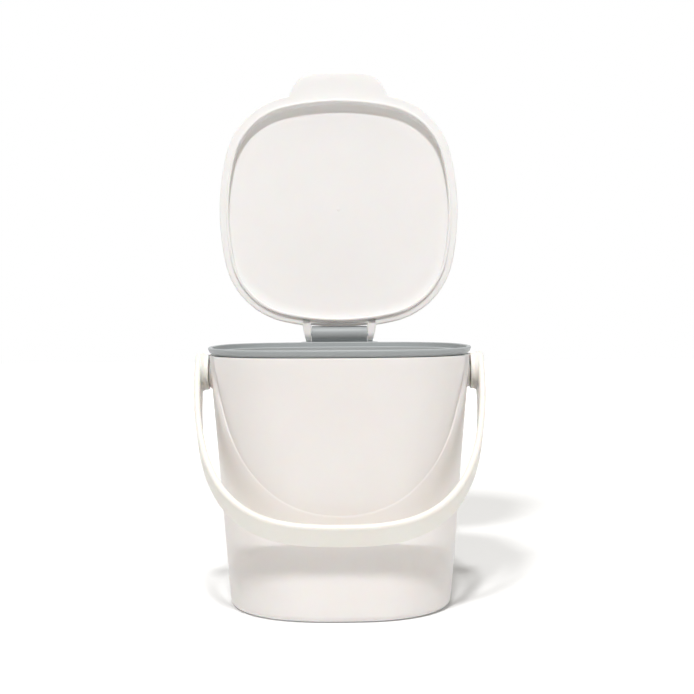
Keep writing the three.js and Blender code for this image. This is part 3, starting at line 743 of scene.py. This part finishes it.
# Pigment stops the light at the surface, so this grey isn't milky, and its rougher face shows one even sheen.
grey_plastic = moulded_plastic("polypropylene_satin_grey", COLLAR_GREY, COLLAR_GREY_DEEP, COLLAR_ROUGHNESS,
                               milk=0.0)
collar = make_piece("collar_moulding", [skin(collar_loops, ring=True), skin(shelf_loops), skin(web_loops),
                                        turned_about_x(knuckle_profile, HINGE_Y, HINGE_Z, ring=True)],
                    "collar", grey_plastic)
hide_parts("rim_collar")

# Hinge pin: a length of drawn steel wire, pushed through the lid's ears and the collar's knuckle. The CAD
# solid stays and gets its material here.
DRAW_LINE_WIDTH = 0.4
DRAW_LINE_LENGTH = 50.0 / 3
WIRE_SMOOTHEST = 0.22
WIRE_ROUGHEST = 0.42
STEEL_BRIGHT = "bcbfc3"


def drawn_steel(name):
    """Drawn wire: bright steel, with fine lines along its length that break up its highlight. The real
    lines are finer, and are drawn this wide to show."""
    material = bpy.data.materials.new(name)
    material.use_nodes = True
    material.node_tree.nodes.clear()
    along, across = 1 / (DRAW_LINE_LENGTH * MM), 1 / (DRAW_LINE_WIDTH * MM)
    place = add_node(material, "ShaderNodeTexCoord", {})
    stretched = add_node(material, "ShaderNodeMapping", {"Scale": (along, across, across)},
                         [("Vector", place.outputs["Object"])])
    lines = add_node(material, "ShaderNodeTexNoise", {"Scale": 1.0},
                     [("Vector", stretched.outputs["Vector"])])
    gloss = add_node(material, "ShaderNodeMapRange", {"To Min": WIRE_SMOOTHEST, "To Max": WIRE_ROUGHEST},
                     [("Value", lines.outputs["Fac"])])
    surface = add_node(material, "ShaderNodeBsdfPrincipled",
                       {"Metallic": 1.0, "Base Color": linear(STEEL_BRIGHT)},
                       [("Roughness", gloss.outputs["Result"])])
    add_node(material, "ShaderNodeOutputMaterial", {}, [("Surface", surface.outputs["BSDF"])])
    return material


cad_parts["hinge_pin"].data.materials.clear()
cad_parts["hinge_pin"].data.materials.append(drawn_steel("steel_drawn_wire"))

# Lid: one white polypropylene moulding, with a flat edge, a thumb tab at the front, a skirt inside the edge
# and a sunk panel. It is drawn closed with the hinge's axis at the origin, and then turned open.
OPEN_ANGLE = math.radians(99)
LID_UNDERSIDE = -KNUCKLE_RADIUS
LID_EDGE = 3.0
LID_EDGE_TOP = LID_UNDERSIDE + LID_EDGE
LID_EDGE_ROUND = 1.1
SKIRT_OUT = 2.7
SKIRT_IN = 4.9
SKIRT_FRONT_SETBACK = 2.9
SKIRT_DROP = 2.0
SKIRT_HEIGHT = 7.0
SKIRT_FOOT = LID_UNDERSIDE - SKIRT_DROP
SKIRT_ROUND = 0.75
SKIRT_ROOT_ROUND = 0.4
PANEL_RIM = SKIRT_FOOT + SKIRT_HEIGHT
PANEL_FILLET = 0.9
PANEL_FILLET_RUNS = 5
LID_SKIN = 2.3
SHOULDER_RISE = 4.5
CROWN_RISE = 2.0
CROWN_SPARE = 0.2
SHOULDER_POWER = 6
SHOULDER_EASE = 0.6
GATE_MARK_PROUD = 0.35
GATE_MARK = ((0.006, GATE_MARK_PROUD), (0.012, GATE_MARK_PROUD), (0.016, 0.0), (0.03, 0.0))
TAB_REACH = 16.0
TAB_ROOT_HALF = 40.3
TAB_FOOT = 4.1
TAB_SHOULDER = 6.0
TAB_WAIST_HALF = 36.5
TAB_CORNER_HALF = 32.0
TAB_FLAT_HALF = 14.0
EAR_GAP = 0.4
EAR_ROOT_HALF = 29.6
LID_WHITE = "f2f1f2"
LID_WHITE_DEEP = "eeedec"
LID_ROUGHNESS = 0.3
LID_STEPS_A_QUARTER = 120
TAB_STEPS = 60
HALF_WAY = 0.5

# How far out from the lid's middle each loop of its inside and of its outside lies, closer at its shoulder.
INSIDE_SHARES = (0.06, 0.14, 0.24, 0.34, 0.44, 0.54, 0.63, 0.7, 0.76, 0.81, 0.845)
OUTSIDE_SHARES = (1.0, 0.995, 0.98, 0.96, 0.93, 0.89, 0.84, 0.76, 0.65, 0.5, 0.34, 0.18, 0.06)

lid_turned = Matrix.Translation(Vector((0, HINGE_Y, HINGE_Z)) * MM) @ Matrix.Rotation(-OPEN_ANGLE, 4, "X")


def lid_rise(share):
    """Height of the lid's outside above its edge, by the share of the way out from its middle."""
    return SHOULDER_RISE * (1 - share**SHOULDER_POWER) ** SHOULDER_EASE + CROWN_RISE * (1 - share * share)


def rim_point(turn, inset, share=1.0):
    """Point of the pail's rim, brought in by an inset and then drawn towards the middle by a share."""
    x, y = plan_point(pail_plan(PAIL_TOP, inset), turn)
    return x * share, y * share


def set_back(x, y):
    """The skirt keeps further back at the front, where it swings past the collar."""
    return x, y * (1 - SKIRT_FRONT_SETBACK / LID_HALF_DEPTH) if y < 0 else y


tab_curve = ((TAB_ROOT_HALF, TAB_FOOT), (TAB_WAIST_HALF, -TAB_SHOULDER),
             (TAB_CORNER_HALF, -TAB_REACH), (TAB_FLAT_HALF, -TAB_REACH))
tab_side = [cubic(tab_curve, step / TAB_STEPS)[0] for step in range(TAB_STEPS + 1)]
tab_side = np.array(tab_side + [np.array((0.0, -TAB_REACH))])
tab_run = run_along(tab_side)
notch_line = HINGE_Y - HINGE_REACH
knuckle_room = KNUCKLE_HALF + EAR_GAP


def lid_edge_point(turn):
    """Point of the lid's outline, with the tab drawn out in front and the knuckle's notch at the back."""
    x, y = rim_point(turn, -LID_OVERHANG)
    if y < 0 and abs(x) < TAB_ROOT_HALF:
        run = tab_run[-1] * (1 - abs(x) / TAB_ROOT_HALF)
        out = np.interp(run, tab_run, tab_side[:, 1])
        return math.copysign(np.interp(run, tab_run, tab_side[:, 0]), x), out - LID_HALF_DEPTH
    if y > 0 and abs(x) < EAR_ROOT_HALF:
        share = ease((abs(x) - knuckle_room) / (EAR_ROOT_HALF - knuckle_room))
        return x, blend(notch_line, y, share)
    return x, y


# The lid's loops, from the gate mark in the middle of its panel out to the skirt, round its edge and back
# over its crown.
lid_turns = [quarter + step / LID_STEPS_A_QUARTER
             for quarter in range(4) for step in range(LID_STEPS_A_QUARTER)]
lid_outline = [lid_edge_point(turn) for turn in lid_turns]
lid_loops = []
for share, proud in GATE_MARK:
    z = LID_EDGE_TOP + lid_rise(share) - LID_SKIN - proud
    lid_loops.append([(*rim_point(turn, -LID_OVERHANG, share), z) for turn in lid_turns])
for share in INSIDE_SHARES:
    z = max(LID_EDGE_TOP + lid_rise(share) - LID_SKIN, PANEL_RIM)
    lid_loops.append([(*set_back(*rim_point(turn, -LID_OVERHANG, share)), z) for turn in lid_turns])
lid_section = rounded([(SKIRT_IN + PANEL_FILLET_RUNS * PANEL_FILLET, PANEL_RIM, 0),
                       (SKIRT_IN, PANEL_RIM, PANEL_FILLET), (SKIRT_IN, SKIRT_FOOT, SKIRT_ROUND),
                       (SKIRT_OUT, SKIRT_FOOT, SKIRT_ROUND), (SKIRT_OUT, LID_UNDERSIDE, SKIRT_ROOT_ROUND),
                       (0.0, LID_UNDERSIDE, 0)])[1:-1]
for inset, z in lid_section:
    lid_loops.append([(*set_back(*rim_point(turn, inset)), z) for turn in lid_turns])
rim_loop = [rim_point(turn, 0.0) for turn in lid_turns]
edge_loop = inset_outline(lid_outline, LID_EDGE_ROUND)
lid_loops.append([(blend(a[0], b[0], HALF_WAY), blend(a[1], b[1], HALF_WAY), LID_UNDERSIDE)
                  for a, b in zip(rim_loop, edge_loop)])
lid_loops += slab_loops(lid_outline, LID_UNDERSIDE, LID_EDGE_TOP, LID_EDGE_ROUND)
for share in OUTSIDE_SHARES:
    z = LID_EDGE_TOP + lid_rise(share)
    lid_loops.append([(*rim_point(turn, -LID_OVERHANG + LID_EDGE_ROUND + CROWN_SPARE, share), z)
                      for turn in lid_turns])
lid_points, lid_faces = skin(lid_loops)
lid_points = [(x, y - HINGE_Y, z) for x, y, z in lid_points]

# The glossiest and coolest of the whites: its flat panel throws the light back as one even, bright field.
lid_plastic = moulded_plastic("polypropylene_satin_bright_white", LID_WHITE, LID_WHITE_DEEP, LID_ROUGHNESS)
lid = make_piece("lid_moulding", [(lid_points, lid_faces)], "lid", lid_plastic,
                 turned=lid_turned)
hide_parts("lid")

# Ears: part of the lid's moulding, one on each side of the knuckle, bored for the pin. Each ends in a flat
# heel that meets the collar's shelf when the lid stands open.
EAR_WAIST_HALF = 28.8
EAR_TIP_HALF = 26.6
EAR_ROOT = 4.6
EAR_CREST = 7.6
EAR_HEEL = 5.0
EAR_ROUND = 0.7
EAR_TIP_THICKNESS = 0.02
EAR_ROUND_DIVISOR = 2.1
EAR_ROUND_STEPS = 3
EAR_ROOT_STEPS = 5
EAR_ARM_STEPS = 6
EAR_TIP_STEPS = 12
SAME_LENGTH = 1e-6
PIN_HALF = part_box("hinge_pin")[1].x / MM
PIN_BORE_SPARE = 0.2
PIN_BORE_OVERLAP = 1.0
PIN_BORE_STEPS = 32

past_upright = OPEN_ANGLE - math.pi / 2
heel = (KNUCKLE_RADIUS * math.cos(past_upright) - EAR_HEEL * math.sin(past_upright),
        KNUCKLE_RADIUS * math.sin(past_upright) + EAR_HEEL * math.cos(past_upright))
ear_end = (KNUCKLE_RADIUS * math.cos(past_upright), KNUCKLE_RADIUS * math.sin(past_upright))
ear_start = -HINGE_REACH - EAR_ROOT
ear_stations = [blend(ear_start, -HINGE_REACH, k / EAR_ROOT_STEPS) for k in range(EAR_ROOT_STEPS + 1)]
ear_stations += [blend(-HINGE_REACH, 0, k / EAR_ARM_STEPS) for k in range(1, EAR_ARM_STEPS + 1)]
ear_stations += [ear_end[0] * math.sin(math.pi / 2 * k / EAR_TIP_STEPS) for k in range(1, EAR_TIP_STEPS + 1)]


def ear_section(y, way):
    """Loop round an ear at a distance y behind the hinge's axis."""
    low = LID_UNDERSIDE if y <= 0 else -math.sqrt(max(KNUCKLE_RADIUS**2 - y * y, 0))
    if y > ear_end[0] - SAME_LENGTH:
        low = ear_end[1] - EAR_TIP_THICKNESS
    high = np.interp(y, [ear_start, -HINGE_REACH, heel[0], ear_end[0]],
                     [LID_EDGE_TOP, LID_UNDERSIDE + EAR_CREST, heel[1], ear_end[1]])
    share = min(max((y + HINGE_REACH) / (HINGE_REACH + KNUCKLE_RADIUS), 0), 1)
    rest = 1 - share
    outer = rest**2 * EAR_ROOT_HALF + 2 * share * rest * EAR_WAIST_HALF + share**2 * EAR_TIP_HALF
    radius = min(EAR_ROUND, (high - low) / EAR_ROUND_DIVISOR)
    section = rounded([(knuckle_room, low, radius), (outer, low, radius),
                       (outer, high, radius), (knuckle_room, high, radius)], EAR_ROUND_STEPS)
    loop = [(way * x, y, z) for x, z in section]
    return loop if way < 0 else loop[::-1]


bore_profile = [(KNUCKLE_HALF - PIN_BORE_OVERLAP, PIN_BORE_RADIUS),
                (PIN_HALF + PIN_BORE_SPARE, PIN_BORE_RADIUS)]
for way, side in ((-1, "left"), (1, "right")):
    ear = make_piece("lid_ear_" + side, [skin([ear_section(y, way) for y in ear_stations])], "lid",
                     lid_plastic, turned=lid_turned)
    bore = make_piece("pin_bore_" + side, [turned_about_x(bore_profile, way=way, steps=PIN_BORE_STEPS)],
                      "lid", lid_plastic, turned=lid_turned)
    cut = ear.modifiers.new("pin_bore", "BOOLEAN")
    cut.operation = "DIFFERENCE"
    cut.solver = "EXACT"
    cut.object = bore
    bpy.context.view_layer.update()
    bored = bpy.data.meshes.new_from_object(ear.evaluated_get(bpy.context.evaluated_depsgraph_get()))
    ear.modifiers.clear()
    ear.data = bored
    bpy.data.objects.remove(bore)

# Setting: a pale floor, a key light high in front, a softbox overhead, and a low light from the front left
# that falls on the floor alone and gives the shadows beside the bin. The camera looks straight ahead from a
# metre away, with a slight roll. Lengths are in metres here, but for the camera's sensor.
PHOTO_SIZE = 694
FOCAL_PIXELS = 1378
AXIS_PIXEL_X = 339.2
AXIS_PIXEL_Y = 302.7
CAMERA_PLACE = (0.0, -1.006, 0.2155)
CAMERA_ROLL = 0.0062
SENSOR_WIDTH = 36.0
KEY_HEIGHT_ANGLE = 58
KEY_LEFT_ANGLE = 1.0
KEY_STRENGTH = 2.29
KEY_SPREAD = 5.5
FLOOR_LIGHT_HEIGHT_ANGLE = 42
FLOOR_LIGHT_LEFT_ANGLE = 18
FLOOR_LIGHT_STRENGTH = 2.4
FLOOR_LIGHT_SPREAD = 7
SOFTBOX_PLACE = (0.0, 0.0, 2.2)
SOFTBOX_SIZE = 1.6
SOFTBOX_POWER = 9.0
SURROUND_LEVEL = 0.3
SURROUND_WARMTH = "fff8ea"
BACKGROUND_LEVEL = 1.0
BACKGROUND_WHITE = "ffffff"
FLOOR_HALF = 4.0
FLOOR_DROP = 0.0002
FLOOR_CORNERS = ((-1, -1), (1, -1), (1, 1), (-1, 1))
FLOOR_GREY = "c8c8c8"
FLOOR_GREY_LIGHT = "cbcbcb"
MOTTLE_SPACING = 1 / 3
MOTTLE_DETAIL = 1.0
NEAR_FLOOR_LIFT = 0.17
FAR_FLOOR_LIFT = 0.55
NEAR_FLOOR = 0.62
FAR_FLOOR = 1.3

scene = bpy.context.scene
scene.view_settings.view_transform = "Standard"

lens = bpy.data.cameras.new("camera")
lens.sensor_width = SENSOR_WIDTH
lens.lens = SENSOR_WIDTH * FOCAL_PIXELS / PHOTO_SIZE
lens.shift_x = (PHOTO_SIZE / 2 - AXIS_PIXEL_X) / PHOTO_SIZE
lens.shift_y = (AXIS_PIXEL_Y - PHOTO_SIZE / 2) / PHOTO_SIZE
camera = bpy.data.objects.new("camera", lens)
camera.location = CAMERA_PLACE
camera.rotation_euler = (math.pi / 2, CAMERA_ROLL, 0)
scene.collection.objects.link(camera)
scene.camera = camera


def background_rays(material):
    """1 on the rays that show the background: the camera's own, and those mirrored or let through."""
    path = add_node(material, "ShaderNodeLightPath", {})
    onward = add_node(material, "ShaderNodeMath", {"operation": "MAXIMUM"},
                      [(0, path.outputs["Is Glossy Ray"]), (1, path.outputs["Is Transmission Ray"])])
    shown = add_node(material, "ShaderNodeMath", {"operation": "MAXIMUM"},
                     [(0, path.outputs["Is Camera Ray"]), (1, onward.outputs["Value"])])
    return shown.outputs["Value"]


# The floor is matt paper: no highlight, only the shadows. On the rays that show the background it is lifted,
# a little near the bin and as far as white away from it.
floor_mesh = bpy.data.meshes.new("studio_floor")
floor_mesh.from_pydata([(x * FLOOR_HALF, y * FLOOR_HALF, -FLOOR_DROP) for x, y in FLOOR_CORNERS],
                       [], [(0, 1, 2, 3)])
floor = bpy.data.objects.new("studio_floor", floor_mesh)
scene.collection.objects.link(floor)
paper = bpy.data.materials.new("paper_matt_pale")
paper.use_nodes = True
paper.node_tree.nodes.clear()
place = add_node(paper, "ShaderNodeTexCoord", {})
mottle = add_node(paper, "ShaderNodeTexNoise", {"Scale": 1 / MOTTLE_SPACING, "Detail": MOTTLE_DETAIL},
                  [("Vector", place.outputs["Object"])])
tone = add_node(paper, "ShaderNodeMix",
                {"data_type": "RGBA", COLOUR_A: linear(FLOOR_GREY), COLOUR_B: linear(FLOOR_GREY_LIGHT)},
                [(0, mottle.outputs["Fac"])])
matt = add_node(paper, "ShaderNodeBsdfDiffuse", {}, [("Color", tone.outputs[COLOUR_RESULT])])
away = add_node(paper, "ShaderNodeVectorMath", {"operation": "LENGTH"}, [(0, place.outputs["Object"])])
lift = add_node(paper, "ShaderNodeMapRange",
                {"interpolation_type": "SMOOTHSTEP", "From Min": NEAR_FLOOR, "From Max": FAR_FLOOR,
                 "To Min": NEAR_FLOOR_LIFT, "To Max": FAR_FLOOR_LIFT},
                [("Value", away.outputs["Value"])])
seen_lift = add_node(paper, "ShaderNodeMath", {"operation": "MULTIPLY"},
                     [(0, lift.outputs["Result"]), (1, background_rays(paper))])
glow = add_node(paper, "ShaderNodeEmission", {}, [("Strength", seen_lift.outputs["Value"])])
both = add_node(paper, "ShaderNodeAddShader", {}, [(0, matt.outputs["BSDF"]), (1, glow.outputs["Emission"])])
add_node(paper, "ShaderNodeOutputMaterial", {}, [("Surface", both.outputs["Shader"])])
floor_mesh.materials.append(paper)


def sun(name, height_angle, left_angle, strength, spread):
    """A far light that comes from the front, turned to the left and raised by angles in degrees."""
    height, left = math.radians(height_angle), math.radians(left_angle)
    level = math.cos(height)
    towards = Vector((-math.sin(left) * level, -math.cos(left) * level, math.sin(height)))
    light = bpy.data.lights.new(name, "SUN")
    light.energy = strength
    light.angle = math.radians(spread)
    lamp = bpy.data.objects.new(name, light)
    lamp.rotation_euler = towards.to_track_quat("Z", "Y").to_euler()
    scene.collection.objects.link(lamp)
    return lamp


sun("key_light", KEY_HEIGHT_ANGLE, KEY_LEFT_ANGLE, KEY_STRENGTH, KEY_SPREAD)
floor_light = sun("floor_light", FLOOR_LIGHT_HEIGHT_ANGLE, FLOOR_LIGHT_LEFT_ANGLE, FLOOR_LIGHT_STRENGTH,
                  FLOOR_LIGHT_SPREAD)
lit_by_floor_light = bpy.data.collections.new("lit_by_floor_light")
lit_by_floor_light.objects.link(floor)
floor_light.light_linking.receiver_collection = lit_by_floor_light

panel_light = bpy.data.lights.new("overhead_softbox", "AREA")
panel_light.shape = "SQUARE"
panel_light.size = SOFTBOX_SIZE
panel_light.energy = SOFTBOX_POWER
softbox = bpy.data.objects.new("overhead_softbox", panel_light)
softbox.location = SOFTBOX_PLACE
scene.collection.objects.link(softbox)

# The surround lights the bin evenly at a low, faintly warm level. It shows as white behind the bin and in
# its gloss.
surround = bpy.data.worlds.new("studio_surround")
surround.use_nodes = True
surround.node_tree.nodes.clear()
shown = background_rays(surround)
level = add_node(surround, "ShaderNodeMapRange", {"To Min": SURROUND_LEVEL, "To Max": BACKGROUND_LEVEL},
                 [("Value", shown)])
tint = add_node(surround, "ShaderNodeMix",
                {"data_type": "RGBA", COLOUR_A: linear(SURROUND_WARMTH), COLOUR_B: linear(BACKGROUND_WHITE)},
                [(0, shown)])
surround_light = add_node(surround, "ShaderNodeBackground", {},
                          [("Color", tint.outputs[COLOUR_RESULT]), ("Strength", level.outputs["Result"])])
add_node(surround, "ShaderNodeOutputWorld", {}, [("Surface", surround_light.outputs["Background"])])
scene.world = surround

bpy.context.view_layer.update()
